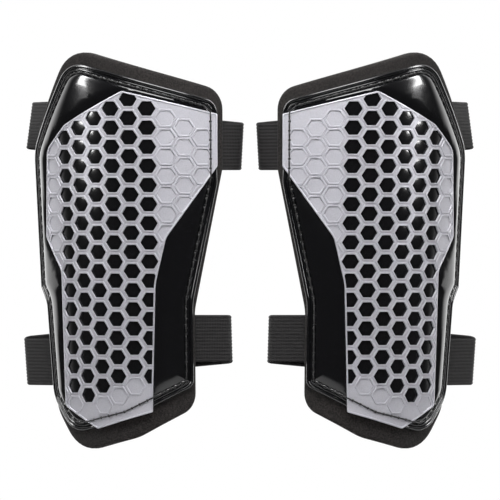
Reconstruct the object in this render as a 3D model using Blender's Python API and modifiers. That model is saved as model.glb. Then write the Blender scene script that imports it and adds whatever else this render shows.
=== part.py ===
"""A pair of low-profile shin guards with calf straps, standing as they are worn.

Each guard is a curved sandwich: a honeycomb plate over a hard shell over a foam pad over a
fabric lining, sewn together along one seam. Two elastic straps close behind the calf with
hook and loop patches. The left guard is the one at -X; the right guard is its mirror image.

Frame: metres, +Z up, the guards' fronts face -Y, and X = 0 is halfway between the two.
Flat pattern: u runs around the leg from the guard's crest line, positive towards the other
guard, and z runs up. Depth is measured inwards from the honeycomb plate's outer face.
"""

import math

import bmesh
import bpy
from mathutils import Matrix, Vector

MM = 0.001

# Overall form
HEIGHT = 210 * MM
CREST_SPACING = 90.3 * MM  # between the two guards' crest lines, halfway up
CREST_LEAN = 0.018  # each crest line leans outwards by this much per unit of height
RADIUS = 78 * MM  # of the plate's outer face, halfway up
TAPER = 0.038  # growth of that radius per unit of height
BOW = 4 * MM  # how far the crest curves back at the top and bottom
ORIGIN_BACK = 36 * MM  # the origin lies this far behind the crest

# Flat pattern of the foam pad
OUTER_REACH = 91.7 * MM  # from the crest line to the outer edge, above the kink
OUTER_REACH_LOW = 80 * MM  # the same below the kink
INNER_REACH = 34.6 * MM  # from the crest line to the inner edge, above the waist
INNER_REACH_LOW = 17.2 * MM  # the same below the waist

# Layers, from the outside in
PLATE_THICKNESS = 1.2 * MM
SHELL_THICKNESS = 1.5 * MM
FOAM_THICKNESS = 5 * MM
LINING_THICKNESS = 0.8 * MM
GAP = 0.3 * MM  # clearance between neighbouring pieces
SEAM_INSET = 4.2 * MM  # from the shell's edge to the seam
LINING_INSET = 11 * MM  # from the pad's edge to the lining's edge
THREAD_RADIUS = 0.35 * MM
THREAD_CLIMB = (2 * MM, 5 * MM)  # outside the plate's edge, where the seam climbs onto the plate

# Honeycomb
HEX_WIDTH = 9.8 * MM  # across the points, around the leg
HEX_HEIGHT = 7.6 * MM  # across the flats
COLUMN_PITCH = 9.9 * MM
ROW_PITCH = 10.15 * MM
OPEN_COLUMNS = 6
LAST_OPEN_COLUMN = -8.5 * MM  # u of the open column nearest the other guard
TOP_CELL = 59.8 * MM  # z of the highest cell centre in the outermost open column
OPEN_CLEARANCE = 17.5 * MM  # from the plate's bottom edge to the nearest open cell's centre
RIM = 1 * MM  # solid border kept between a cell and the plate's edge

# Straps
STRAP_WIDTH = 25 * MM
STRAP_THICKNESS = 1.2 * MM
ANCHOR_LENGTH = 9 * MM  # sewn to the back of the pad
EDGE_LAP = 4 * MM  # strap past the pad's edge that still follows the pad's curve
FOLD_RADIUS = 3 * MM  # on the strap's middle surface
FOLD_LAP = 1.5 * MM  # straight band between a fold and the next length of band
PATCH_THICKNESS = 1 * MM
PATCH_MARGIN = 0.6 * MM  # strap left bare along each side of a patch
LOOP_PATCH = (16 * MM, 48 * MM)  # from the inner fold's corner, along the back
HOOK_PATCH = (14 * MM, 46 * MM)
INNER_BACK_END = 50 * MM  # end of the short band that carries the loop patch
OUTER_BACK_END = 12 * MM  # free end of the long band that carries the hook patch
TACK_LENGTH = 6 * MM
TACK_THICKNESS = 0.5 * MM
TACK_MARGIN = 2.5 * MM
# Per strap: height at the inner edge, height at the outer edge, and for each edge how far
# the fold's corner stands out sideways and back from where the strap leaves the pad's curve.
UPPER_STRAP = (HEIGHT / 2 - 50 * MM, HEIGHT / 2 - 38 * MM, (13.9 * MM, 6.3 * MM), (13.6 * MM, 17 * MM))
LOWER_STRAP = (58 * MM - HEIGHT / 2, 45 * MM - HEIGHT / 2, (24.5 * MM, 5.2 * MM), (30 * MM, 24.5 * MM))

# Fineness of the facets
ARC_STEP = math.radians(18)
Z_STEP = 30 * MM
THREAD_STEP = 3.5 * MM
ANCHOR_SEGMENTS = 3
FOLD_SEGMENTS = 8
SMALLEST_RADIUS = 0.8 * MM

TOP = HEIGHT / 2
BOTTOM = -HEIGHT / 2
PATTERN_RADIUS = RADIUS + TAPER * TOP / 2  # u is the true arc length at this radius
SHELL_DEPTH = PLATE_THICKNESS + GAP
FOAM_DEPTH = SHELL_DEPTH + SHELL_THICKNESS + GAP
LINING_DEPTH = FOAM_DEPTH + FOAM_THICKNESS + GAP
STRAP_DEPTH = LINING_DEPTH + STRAP_THICKNESS / 2
TACK_DEPTH = LINING_DEPTH + STRAP_THICKNESS + GAP + TACK_THICKNESS / 2
LOOP_OFFSET = STRAP_THICKNESS / 2 + GAP + PATCH_THICKNESS / 2
HOOK_OFFSET = LOOP_OFFSET + PATCH_THICKNESS + GAP
STACK = LOOP_OFFSET + HOOK_OFFSET

# The pad's corners, anticlockwise from the top inner one: u, z, corner radius, and the
# margin of bare foam outside the shell along the side that follows.
PAD_CORNERS = (
    (INNER_REACH, TOP - 20.4 * MM, 13 * MM, 6.8 * MM),
    (37.2 * MM - OUTER_REACH, TOP + 3.6 * MM, 22 * MM, 5 * MM),
    (-OUTER_REACH, TOP - 51.4 * MM, 25 * MM, 5.5 * MM),
    (-OUTER_REACH, -17.5 * MM, 6 * MM, 3 * MM),
    (-2 * MM - OUTER_REACH_LOW, -31 * MM, 8 * MM, 1.7 * MM),
    (0.5 * MM - OUTER_REACH_LOW, BOTTOM + 21 * MM, 20 * MM, 5 * MM),
    (21 * MM - OUTER_REACH_LOW, BOTTOM - 3.4 * MM, 25 * MM, 10.5 * MM),
    (-18 * MM, BOTTOM + 5.5 * MM, 40 * MM, 11 * MM),
    (INNER_REACH_LOW, BOTTOM + 21.5 * MM, 12 * MM, 1.8 * MM),
    (INNER_REACH_LOW, -32 * MM, 30 * MM, 2.7 * MM),
    (INNER_REACH, TOP - 61.5 * MM, 20 * MM, 4.7 * MM),
)
INNER_SHELL_MARGIN = PAD_CORNERS[-1][3]

# The honeycomb plate's corners, anticlockwise from the inner flap's top: u, z, radius.
PLATE_FLAP = INNER_REACH - INNER_SHELL_MARGIN - GAP
PLATE_CORNERS = (
    (PLATE_FLAP, TOP - 32.7 * MM, 0.8 * MM),
    (-21.5 * MM, TOP - 20.5 * MM, 3 * MM),
    (34.7 * MM - OUTER_REACH, TOP - 38.2 * MM, 10 * MM),
    (20.2 * MM - OUTER_REACH, TOP - 51.5 * MM, 8 * MM),
    (15.9 * MM - OUTER_REACH, 7 * MM, 5 * MM),
    (16 * MM - OUTER_REACH_LOW, -11 * MM, 8 * MM),
    (14.4 * MM - OUTER_REACH_LOW, BOTTOM + 22 * MM, 3 * MM),
    (-42.5 * MM, BOTTOM + 10 * MM, 1 * MM),
    (-8.6 * MM, BOTTOM + 19 * MM, 0.8 * MM),
    (-5.5 * MM, -18 * MM, 30 * MM),
    (0.8 * MM, 6.5 * MM, 12 * MM),
    (PLATE_FLAP, TOP - 60.5 * MM, 1 * MM),
)
PLATE_BOTTOM_SIDE = 7  # the plate's bottom edge runs from this corner to the next


# ---------------------------------------------------------------- geometry helpers


def fillet(before, corner, after, radius, count=0):
    """Points of the arc that rounds a corner, from the side of `before` to that of `after`.

    With no count given, the arc gets as many segments as ARC_STEP asks for.
    """
    back = (before - corner).normalized()
    ahead = (after - corner).normalized()
    half = back.angle(ahead) / 2
    radius = min(radius, 0.48 * min((before - corner).length, (after - corner).length) * math.tan(half))
    inward = (back + ahead).normalized()
    across = (ahead - back).normalized()
    centre = corner + inward * (radius / math.sin(half))
    spread = math.pi / 2 - half
    count = count or max(1, math.ceil(2 * spread / ARC_STEP))
    turns = (spread * (2 * i / count - 1) for i in range(count + 1))
    return [centre - inward * (radius * math.cos(a)) + across * (radius * math.sin(a)) for a in turns]


def rounded(corners):
    """The outline of a polygon of (u, z, radius) corners, with its corners rounded."""
    points = [Vector((c[0], c[1])) for c in corners]
    count = len(corners)
    outline = []
    for i in range(count):
        outline += fillet(points[i - 1], points[i], points[(i + 1) % count], corners[i][2])
    return outline


def inset(corners, margins):
    """The corners moved inwards, each side by its own margin; side i starts at corner i."""
    points = [Vector((c[0], c[1])) for c in corners]
    count = len(points)
    moved = []
    for i in range(count):
        before = (points[i] - points[i - 1]).normalized()
        after = (points[(i + 1) % count] - points[i]).normalized()
        turn = before.cross(after)
        place = points[i] + (after * margins[i - 1] - before * margins[i]) / turn
        radius = corners[i][2] - math.copysign((margins[i - 1] + margins[i]) / 2, turn)
        moved.append((place.x, place.y, max(radius, SMALLEST_RADIUS)))
    return moved


def side_u(outline, z, towards):
    """u where the outline crosses height z, on its inner (+1) or outer (-1) side."""
    crossings = []
    for a, b in zip(outline, outline[1:] + outline[:1]):
        if (a.y - z) * (b.y - z) < 0:
            crossings.append(a.x + (b.x - a.x) * (z - a.y) / (b.y - a.y))
    return max(crossings) if towards > 0 else min(crossings)


def inside(point, outline):
    """Whether a flat point lies inside an outline."""
    crossed = False
    for a, b in zip(outline, outline[1:] + outline[:1]):
        if (a.y > point.y) != (b.y > point.y):
            crossed ^= point.x < a.x + (b.x - a.x) * (point.y - a.y) / (b.y - a.y)
    return crossed


def edge_distance(point, outline):
    """Distance from a flat point to the nearest side of an outline."""
    nearest = math.inf
    for a, b in zip(outline, outline[1:] + outline[:1]):
        along = (b - a).normalized()
        reach = min(max((point - a).dot(along), 0), (b - a).length)
        nearest = min(nearest, (point - a - along * reach).length)
    return nearest


def wrap(u, z, depth):
    """The left guard's point for a place in the flat pattern and a depth."""
    angle = u / PATTERN_RADIUS
    radius = RADIUS + TAPER * z
    x = -CREST_SPACING / 2 - CREST_LEAN * z + (radius - depth) * math.sin(angle)
    y = BOW * (z / TOP) ** 2 - ORIGIN_BACK + radius - (radius - depth) * math.cos(angle)
    return Vector((x, y, z))


def wrapped_run(start, end, z, depth, segments):
    """Points around the leg at one height and depth, from one u to another."""
    return [wrap(start + (end - start) * i / segments, z, depth) for i in range(segments + 1)]


# ---------------------------------------------------------------- object helpers


def make_collection(name):
    collection = bpy.data.collections.new(name)
    bpy.context.scene.collection.children.link(collection)
    return collection


def make_material(name, colour, roughness, coat=0.0):
    material = bpy.data.materials.new(name)
    material.use_nodes = True
    shader = material.node_tree.nodes["Principled BSDF"]
    shader.inputs["Base Color"].default_value = (*colour, 1)
    shader.inputs["Roughness"].default_value = roughness
    shader.inputs["Metallic"].default_value = 0.0
    shader.inputs["Coat Weight"].default_value = coat
    return material


def make_object(name, mesh, collection, material=None):
    made = bpy.data.objects.new(name, mesh)
    collection.objects.link(made)
    if material:
        mesh.materials.clear()
        mesh.materials.append(material)
    return made


def evaluated_mesh(source):
    """A new mesh of an object with its modifiers applied; the object is removed."""
    depsgraph = bpy.context.evaluated_depsgraph_get()
    mesh = bpy.data.meshes.new_from_object(source.evaluated_get(depsgraph))
    bpy.data.objects.remove(source)
    return mesh


def flat_sheet(outline, depth, thickness, collection):
    """A closed flat sheet over an outline, with x = u, y = z and z = -depth."""
    curve = bpy.data.curves.new("outline", "CURVE")
    curve.dimensions = "2D"
    curve.fill_mode = "BOTH"
    curve.extrude = thickness / 2
    spline = curve.splines.new("POLY")
    spline.points.add(len(outline) - 1)
    for point, place in zip(spline.points, outline):
        point.co = (place.x, place.y, 0, 1)
    spline.use_cyclic_u = True
    mesh = evaluated_mesh(make_object("outline", curve, collection))
    sheet = bmesh.new()
    sheet.from_mesh(mesh)
    bmesh.ops.remove_doubles(sheet, verts=sheet.verts, dist=0.001 * MM)
    bmesh.ops.dissolve_limit(sheet, angle_limit=math.radians(1), verts=sheet.verts, edges=sheet.edges)
    bmesh.ops.recalc_face_normals(sheet, faces=sheet.faces)
    bmesh.ops.translate(sheet, verts=sheet.verts, vec=(0, 0, -depth - thickness / 2))
    sheet.to_mesh(mesh)
    sheet.free()
    return mesh


def slice_sheet(mesh):
    """Cuts a flat sheet along the honeycomb's columns and at even heights, where it will bend."""
    sheet = bmesh.new()
    sheet.from_mesh(mesh)
    columns = math.ceil(2 * OUTER_REACH / COLUMN_PITCH)
    rows = math.ceil(TOP / Z_STEP)
    cuts = [((LAST_OPEN_COLUMN + COLUMN_PITCH * i, 0, 0), (1, 0, 0)) for i in range(-columns, columns)]
    cuts += [((0, Z_STEP * i, 0), (0, 1, 0)) for i in range(-rows, rows + 1)]
    for place, normal in cuts:
        everything = sheet.verts[:] + sheet.edges[:] + sheet.faces[:]
        bmesh.ops.bisect_plane(sheet, geom=everything, dist=0.001 * MM, plane_co=place, plane_no=normal)
    sheet.to_mesh(mesh)
    sheet.free()


def bend_sheet(mesh):
    """Wraps a flat sheet around the leg."""
    for vertex in mesh.vertices:
        vertex.co = wrap(vertex.co.x, vertex.co.y, -vertex.co.z)


def cut(mesh, cutter, operation, collection):
    """The first mesh after a Boolean with the second."""
    target = make_object("target", mesh, collection)
    tool = make_object("tool", cutter, collection)
    tool.display_type = "WIRE"
    tool.hide_render = True
    modifier = target.modifiers.new("cut", "BOOLEAN")
    modifier.object = tool
    modifier.operation = operation
    result = evaluated_mesh(target)
    bpy.data.objects.remove(tool)
    return result


def mirrored(mesh):
    """A copy of a mesh mirrored in X = 0, with its faces still pointing out."""
    copy = mesh.copy()
    copy.transform(Matrix.Scale(-1, 4, (1, 0, 0)))
    copy.flip_normals()
    return copy


def ribbon(low, high, thickness, collection):
    """A closed band of even thickness between two rows of points."""
    strip = bmesh.new()
    bmesh.ops.create_grid(strip, x_segments=len(low) - 1, y_segments=1, size=1)
    strip.verts.ensure_lookup_table()
    for vertex, place in zip(strip.verts, low + high):
        vertex.co = place
    mesh = bpy.data.meshes.new("ribbon")
    strip.to_mesh(mesh)
    strip.free()
    band = make_object("ribbon", mesh, collection)
    modifier = band.modifiers.new("thickness", "SOLIDIFY")
    modifier.thickness = thickness
    modifier.offset = 0
    modifier.use_even_offset = True
    return evaluated_mesh(band)


# ---------------------------------------------------------------- layers of one guard

PAD_OUTLINE = rounded(PAD_CORNERS)
SHELL_CORNERS = inset(PAD_CORNERS, [corner[3] for corner in PAD_CORNERS])
SHELL_OUTLINE = rounded(SHELL_CORNERS)
SEAM_OUTLINE = rounded(inset(SHELL_CORNERS, [SEAM_INSET] * len(SHELL_CORNERS)))
LINING_OUTLINE = rounded(inset(PAD_CORNERS, [LINING_INSET] * len(PAD_CORNERS)))
PLATE_OUTLINE = rounded(PLATE_CORNERS)


def layer(outline, depth, thickness, collection):
    """A plain curved layer of the sandwich."""
    mesh = flat_sheet(outline, depth, thickness, collection)
    slice_sheet(mesh)
    bend_sheet(mesh)
    return mesh


def open_cells():
    """Centres of the honeycomb's open cells, in the flat pattern."""
    start = Vector(PLATE_CORNERS[PLATE_BOTTOM_SIDE][:2])
    along = (Vector(PLATE_CORNERS[PLATE_BOTTOM_SIDE + 1][:2]) - start).normalized()
    rows = math.ceil(HEIGHT / ROW_PITCH)
    cells = []
    for column in range(OPEN_COLUMNS):
        u = LAST_OPEN_COLUMN - COLUMN_PITCH * (OPEN_COLUMNS - 1 - column)
        for row in range(-rows, rows):
            centre = Vector((u, TOP_CELL + ROW_PITCH * (row + column % 2 / 2)))
            clear = along.cross(centre - start) > OPEN_CLEARANCE
            if clear and inside(centre, PLATE_OUTLINE):
                cells.append(centre)
    return cells


def cell_cutter(collection):
    """Six-sided prisms for the open cells, cut back to leave the plate's rim."""
    flats = HEX_HEIGHT / (HEX_WIDTH * math.cos(math.pi / 6))
    shape = Matrix.Diagonal((HEX_WIDTH / 2, flats * HEX_WIDTH / 2, 4 * PLATE_THICKNESS, 1))
    shape @= Matrix.Rotation(math.pi / 2, 4, "Z")
    prisms = bmesh.new()
    for centre in open_cells():
        place = Matrix.Translation((centre.x, centre.y, 0)) @ shape
        bmesh.ops.create_cone(prisms, cap_ends=True, segments=6, radius1=1, radius2=1, depth=1, matrix=place)
    mesh = bpy.data.meshes.new("cells")
    prisms.to_mesh(mesh)
    prisms.free()
    border = rounded(inset(PLATE_CORNERS, [RIM] * len(PLATE_CORNERS)))
    limit = flat_sheet(border, -3 * PLATE_THICKNESS, 6 * PLATE_THICKNESS, collection)
    return cut(mesh, limit, "INTERSECT", collection)


def honeycomb_plate(collection):
    """The satin plate with its open cells."""
    mesh = flat_sheet(PLATE_OUTLINE, 0, PLATE_THICKNESS, collection)
    slice_sheet(mesh)
    mesh = cut(mesh, cell_cutter(collection), "DIFFERENCE", collection)
    bend_sheet(mesh)
    return mesh


def seam_thread(collection):
    """One closed run of thread along the seam, climbing over the plate's two flaps."""
    path = []
    for a, b in zip(SEAM_OUTLINE, SEAM_OUTLINE[1:] + SEAM_OUTLINE[:1]):
        count = max(1, round((b - a).length / THREAD_STEP))
        path += [a.lerp(b, i / count) for i in range(count)]
    curve = bpy.data.curves.new("seam", "CURVE")
    curve.dimensions = "3D"
    curve.bevel_depth = THREAD_RADIUS
    curve.bevel_resolution = 0
    spline = curve.splines.new("POLY")
    spline.points.add(len(path) - 1)
    for point, place in zip(spline.points, path):
        point.co = (*wrap(place.x, place.y, thread_depth(place)), 1)
    spline.use_cyclic_u = True
    return evaluated_mesh(make_object("seam", curve, collection))


def thread_depth(place):
    """Depth of the thread's middle: clear of the shell, or of the plate where it crosses that."""
    on_shell = SHELL_DEPTH - GAP - THREAD_RADIUS
    on_plate = -GAP - THREAD_RADIUS
    if inside(place, PLATE_OUTLINE):
        return on_plate
    near, far = THREAD_CLIMB
    share = (edge_distance(place, PLATE_OUTLINE) - near) / (far - near)
    return on_plate + (on_shell - on_plate) * min(max(share, 0), 1)


# ---------------------------------------------------------------- straps of one guard


class Strap:
    """One strap of the left guard, laid out by the rise above its middle line.

    From the pad's inner edge the strap runs out to a fold, straight across the back of the
    leg, and round a second fold to the pad's outer edge.
    """

    def __init__(self, inner_z, outer_z, inner_reach, outer_reach):
        self.inner_z = inner_z
        self.outer_z = outer_z
        self.start = self.sewn_inner(0)[-1] + Vector((inner_reach[0], inner_reach[1], 0))
        end = self.sewn_outer(0)[0] + Vector((-outer_reach[0], outer_reach[1], 0))
        up = Vector((0, 0, 1))
        run = end - (end - self.start).cross(up).normalized() * STACK - self.start
        self.length = run.length
        self.along = run.normalized()
        self.across = (up - self.along * self.along.z).normalized()
        self.back = self.along.cross(self.across)
        self.inner_turn = self.turn(self.inner_fold(0), self.behind(0, 0, 0))
        self.outer_turn = self.turn(self.outer_fold(0), self.behind(self.length, STACK, 0))

    def behind(self, reach, offset, rise):
        """The point `reach` along the back run and `offset` behind its front layer."""
        return self.start + self.along * reach + self.back * offset + self.across * rise

    def sewn_inner(self, rise):
        """Along the back of the pad and just past its inner edge."""
        z = self.inner_z + rise
        edge = side_u(PAD_OUTLINE, z, 1)
        return wrapped_run(edge - ANCHOR_LENGTH, edge + EDGE_LAP, z, STRAP_DEPTH, ANCHOR_SEGMENTS)

    def sewn_outer(self, rise):
        """From just past the pad's outer edge along the back of the pad."""
        z = self.outer_z + rise
        edge = side_u(PAD_OUTLINE, z, -1)
        return wrapped_run(edge - EDGE_LAP, edge + ANCHOR_LENGTH, z, STRAP_DEPTH, ANCHOR_SEGMENTS)

    def inner_fold(self, rise):
        exit_point, corner = self.sewn_inner(rise)[-1], self.behind(0, 0, rise)
        return fillet(exit_point, corner, self.behind(self.length, 0, rise), FOLD_RADIUS, FOLD_SEGMENTS)

    def outer_fold(self, rise):
        exit_point, corner = self.sewn_outer(rise)[0], self.behind(self.length, STACK, rise)
        return fillet(self.behind(0, STACK, rise), corner, exit_point, FOLD_RADIUS, FOLD_SEGMENTS)

    def turn(self, fold, corner):
        """How far along the back run a fold and the straight lap after it reach."""
        return (fold[0] - corner).length + FOLD_LAP

    def inner_side(self, rise):
        """From the sewn end, out past the pad's inner edge and round the inner fold."""
        return self.sewn_inner(rise) + self.inner_fold(rise) + [self.behind(self.inner_turn, 0, rise)]

    def outer_side(self, rise):
        """Round the outer fold, and back past the pad's outer edge to the sewn end."""
        start = self.behind(self.length - self.outer_turn, STACK, rise)
        return [start] + self.outer_fold(rise) + self.sewn_outer(rise)

    def inner_back(self, rise):
        """The short band behind the leg, which carries the loop patch."""
        return [self.behind(reach, 0, rise) for reach in (self.inner_turn + GAP, INNER_BACK_END)]

    def outer_back(self, rise):
        """The long band behind the leg, which carries the hook patch."""
        end = self.length - self.outer_turn - GAP
        return [self.behind(reach, STACK, rise) for reach in (OUTER_BACK_END, end)]

    def loop_patch(self, rise):
        return [self.behind(reach, LOOP_OFFSET, rise) for reach in LOOP_PATCH]

    def hook_patch(self, rise):
        return [self.behind(reach, HOOK_OFFSET, rise) for reach in HOOK_PATCH]

    def inner_tack(self, rise):
        return self.tack(rise, self.inner_z, 1)

    def outer_tack(self, rise):
        return self.tack(rise, self.outer_z, -1)

    def tack(self, rise, level, towards):
        """Bar tack that holds a sewn end, parallel to the flat band between its two edges."""
        edges = []
        for z in (level - STRAP_WIDTH / 2, level + STRAP_WIDTH / 2):
            middle = side_u(PAD_OUTLINE, z, towards) - towards * ANCHOR_LENGTH / 2
            edges.append(wrapped_run(middle - TACK_LENGTH / 2, middle + TACK_LENGTH / 2, z, TACK_DEPTH, 1))
        share = rise / STRAP_WIDTH + 0.5
        return [low.lerp(high, share) for low, high in zip(*edges)]

    def hinge(self):
        """Middle of the outer fold, about which the long band swings open."""
        corner = self.behind(self.length, STACK, 0)
        first, last = self.outer_fold(0)[0] - corner, self.outer_fold(0)[-1] - corner
        inward = (first.normalized() + last.normalized()).normalized()
        return corner + inward * (FOLD_RADIUS / math.sin(first.angle(last) / 2))


# Each strap piece: the method that lays it out, its thickness, the width left free along each
# side, its material, and the moving body it belongs to ("guard" does not move).
STRAP_PIECES = {
    "strap_inner_side": (Strap.inner_side, STRAP_THICKNESS, 0, "elastic", "guard"),
    "strap_outer_side": (Strap.outer_side, STRAP_THICKNESS, 0, "elastic", "guard"),
    "inner_tack": (Strap.inner_tack, TACK_THICKNESS, TACK_MARGIN, "thread", "guard"),
    "outer_tack": (Strap.outer_tack, TACK_THICKNESS, TACK_MARGIN, "thread", "guard"),
    "strap_inner_back": (Strap.inner_back, STRAP_THICKNESS, 0, "elastic", "rear"),
    "loop_patch": (Strap.loop_patch, PATCH_THICKNESS, PATCH_MARGIN, "loop", "rear"),
    "strap_outer_back": (Strap.outer_back, STRAP_THICKNESS, 0, "elastic", "flap"),
    "hook_patch": (Strap.hook_patch, PATCH_THICKNESS, PATCH_MARGIN, "hook", "flap"),
}


def strap_meshes(strap, collection):
    """The meshes of one strap's pieces on the left guard, and the point each is placed by."""
    places = {"guard": Vector(), "rear": strap.behind(strap.length / 2, 0, 0), "flap": strap.hinge()}
    made = {}
    for name, (lay_out, thickness, margin, material, body) in STRAP_PIECES.items():
        low = lay_out(strap, margin - STRAP_WIDTH / 2)
        high = lay_out(strap, STRAP_WIDTH / 2 - margin)
        made[name] = (ribbon(low, high, thickness, collection), material, places[body])
    return made


# ---------------------------------------------------------------- the pair


def guard_meshes(collection):
    """Every piece of the left guard: its mesh, material and the point it is placed by."""
    here = Vector()
    lining = layer(LINING_OUTLINE, LINING_DEPTH, LINING_THICKNESS, collection)
    made = {
        "lining": (lining, "lining", here),
        "foam_pad": (layer(PAD_OUTLINE, FOAM_DEPTH, FOAM_THICKNESS, collection), "foam", here),
        "outer_shell": (layer(SHELL_OUTLINE, SHELL_DEPTH, SHELL_THICKNESS, collection), "shell", here),
        "honeycomb_plate": (honeycomb_plate(collection), "plate", here),
        "seam_thread": (seam_thread(collection), "thread", here),
    }
    for level, strap in (("upper", UPPER_STRAP), ("lower", LOWER_STRAP)):
        for name, piece in strap_meshes(Strap(*strap), collection).items():
            made[f"{level}_{name}"] = piece
    return made


def place(name, mesh, origin, collection, material):
    """Adds a piece whose object origin lies at a given point."""
    mesh.transform(Matrix.Translation(-origin))
    mesh.name = name
    made = make_object(name, mesh, collection, material)
    made.location = origin


def main():
    for old in list(bpy.data.objects):
        bpy.data.objects.remove(old)
    parts = make_collection("shin_guards")
    cutters = make_collection("cutters")
    materials = {
        "lining": make_material("knit_lining", (0.020, 0.020, 0.022), 0.95),
        "foam": make_material("foam", (0.018, 0.016, 0.015), 0.85),
        "shell": make_material("moulded_shell", (0.006, 0.006, 0.007), 0.12, 1.0),
        "plate": make_material("satin_plate", (0.42, 0.42, 0.46), 0.35),
        "thread": make_material("sewing_thread", (0.010, 0.010, 0.010), 0.6),
        "elastic": make_material("ribbed_elastic", (0.014, 0.014, 0.014), 0.8),
        "hook": make_material("hook_tape", (0.012, 0.012, 0.012), 0.6),
        "loop": make_material("loop_tape", (0.016, 0.016, 0.016), 0.95),
    }
    for name, (mesh, material, origin) in guard_meshes(cutters).items():
        twin = mirrored(mesh)
        place(f"{name}_left", mesh, origin, parts, materials[material])
        opposite = Vector((-origin.x, origin.y, origin.z))
        place(f"{name}_right", twin, opposite, parts, materials[material])


main()
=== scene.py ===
"""The finished look of a pair of shin guards, laid out as an add-on.

Each guard is a foam pad under a glossy moulded shell under a satin plate full of hexagonal
cells, sewn together along one seam, with a knit lining and two ribbed elastic straps that close
behind the calf with hook and loop patches. The left guard is the one at -X; every piece of the
right guard is the left one's mirror image.

Flat pattern: u runs around the leg from the guard's crest line, positive towards the other
guard, z runs up, and height is measured outwards from the plate's outer face.
"""

import math

import bmesh
import bpy
from bpy.props import FloatProperty, FloatVectorProperty, IntProperty, PointerProperty
from mathutils import Matrix, Vector


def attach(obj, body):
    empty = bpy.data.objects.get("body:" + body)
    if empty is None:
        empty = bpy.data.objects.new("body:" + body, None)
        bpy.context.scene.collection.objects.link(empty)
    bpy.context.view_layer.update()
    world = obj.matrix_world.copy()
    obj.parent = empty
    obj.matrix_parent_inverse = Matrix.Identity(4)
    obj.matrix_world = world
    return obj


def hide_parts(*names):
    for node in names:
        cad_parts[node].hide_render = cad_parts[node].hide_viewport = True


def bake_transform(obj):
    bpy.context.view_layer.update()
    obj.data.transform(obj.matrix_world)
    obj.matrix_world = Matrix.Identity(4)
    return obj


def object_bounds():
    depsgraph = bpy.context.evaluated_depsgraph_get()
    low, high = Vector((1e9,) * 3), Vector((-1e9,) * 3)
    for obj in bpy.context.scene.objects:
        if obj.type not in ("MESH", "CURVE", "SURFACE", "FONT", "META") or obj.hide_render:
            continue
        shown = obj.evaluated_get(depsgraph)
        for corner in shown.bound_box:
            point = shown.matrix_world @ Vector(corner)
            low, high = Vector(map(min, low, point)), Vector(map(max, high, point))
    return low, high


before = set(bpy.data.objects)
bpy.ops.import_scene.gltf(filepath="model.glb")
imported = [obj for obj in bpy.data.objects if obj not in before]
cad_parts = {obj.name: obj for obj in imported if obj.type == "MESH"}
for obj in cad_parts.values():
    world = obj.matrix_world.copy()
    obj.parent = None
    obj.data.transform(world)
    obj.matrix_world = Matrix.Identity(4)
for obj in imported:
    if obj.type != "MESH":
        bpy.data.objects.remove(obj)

bl_info = {
    "name": "Shin guards",
    "version": (1, 0, 0),
    "blender": (4, 5, 0),
    "location": "3D View > Sidebar > Shin guards",
    "description": "Models a pair of strapped shin guards and their studio",
    "category": "Object",
}

MM = 0.001
CAD_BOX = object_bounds()
SIDES = (("left", 1), ("right", -1))

# Overall form, as in the fixed frame
HEIGHT = 210 * MM
TOP = HEIGHT / 2
BOTTOM = -HEIGHT / 2
CREST_SPACING = 90.3 * MM
CREST_LEAN = 0.018
RADIUS = 78 * MM
TAPER = 0.038
BOW = 4 * MM
PATTERN_RADIUS = RADIUS + TAPER * TOP / 2
ORIGIN_BACK = 36 * MM

# Layers, from the outside in
PLATE_THICKNESS = 1.2 * MM
SHELL_THICKNESS = 1.5 * MM
FOAM_THICKNESS = 5 * MM
LINING_THICKNESS = 0.8 * MM
GAP = 0.3 * MM
SHELL_FACE = -(PLATE_THICKNESS + GAP)
SHELL_BACK = SHELL_FACE - SHELL_THICKNESS
FOAM_FACE = SHELL_BACK - GAP
FOAM_BACK = FOAM_FACE - FOAM_THICKNESS
LINING_FACE = FOAM_BACK - GAP
SEAM_INSET = 4.2 * MM
LINING_INSET = 11 * MM

# Reach of the pad around the leg, from the crest line
OUTER_REACH = 91.7 * MM
OUTER_REACH_LOW = 80 * MM
INNER_REACH = 34.6 * MM
INNER_REACH_LOW = 17.2 * MM

# The pad's corners, anticlockwise from the top inner one: u, z, corner radius, and the
# margin of bare foam outside the shell along the side that follows.
PAD_CORNERS = (
    (INNER_REACH, TOP - 20.4 * MM, 13 * MM, 6.8 * MM),
    (37.2 * MM - OUTER_REACH, TOP + 3.6 * MM, 22 * MM, 5 * MM),
    (-OUTER_REACH, TOP - 51.4 * MM, 25 * MM, 5.5 * MM),
    (-OUTER_REACH, -17.5 * MM, 6 * MM, 3 * MM),
    (-2 * MM - OUTER_REACH_LOW, -31 * MM, 8 * MM, 1.7 * MM),
    (0.5 * MM - OUTER_REACH_LOW, BOTTOM + 21 * MM, 20 * MM, 5 * MM),
    (21 * MM - OUTER_REACH_LOW, BOTTOM - 3.4 * MM, 25 * MM, 10.5 * MM),
    (-18 * MM, BOTTOM + 5.5 * MM, 40 * MM, 11 * MM),
    (INNER_REACH_LOW, BOTTOM + 21.5 * MM, 12 * MM, 1.8 * MM),
    (INNER_REACH_LOW, -32 * MM, 30 * MM, 2.7 * MM),
    (INNER_REACH, TOP - 61.5 * MM, 20 * MM, 4.7 * MM),
)
PLATE_FLAP = INNER_REACH - PAD_CORNERS[-1][3] - GAP

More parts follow.
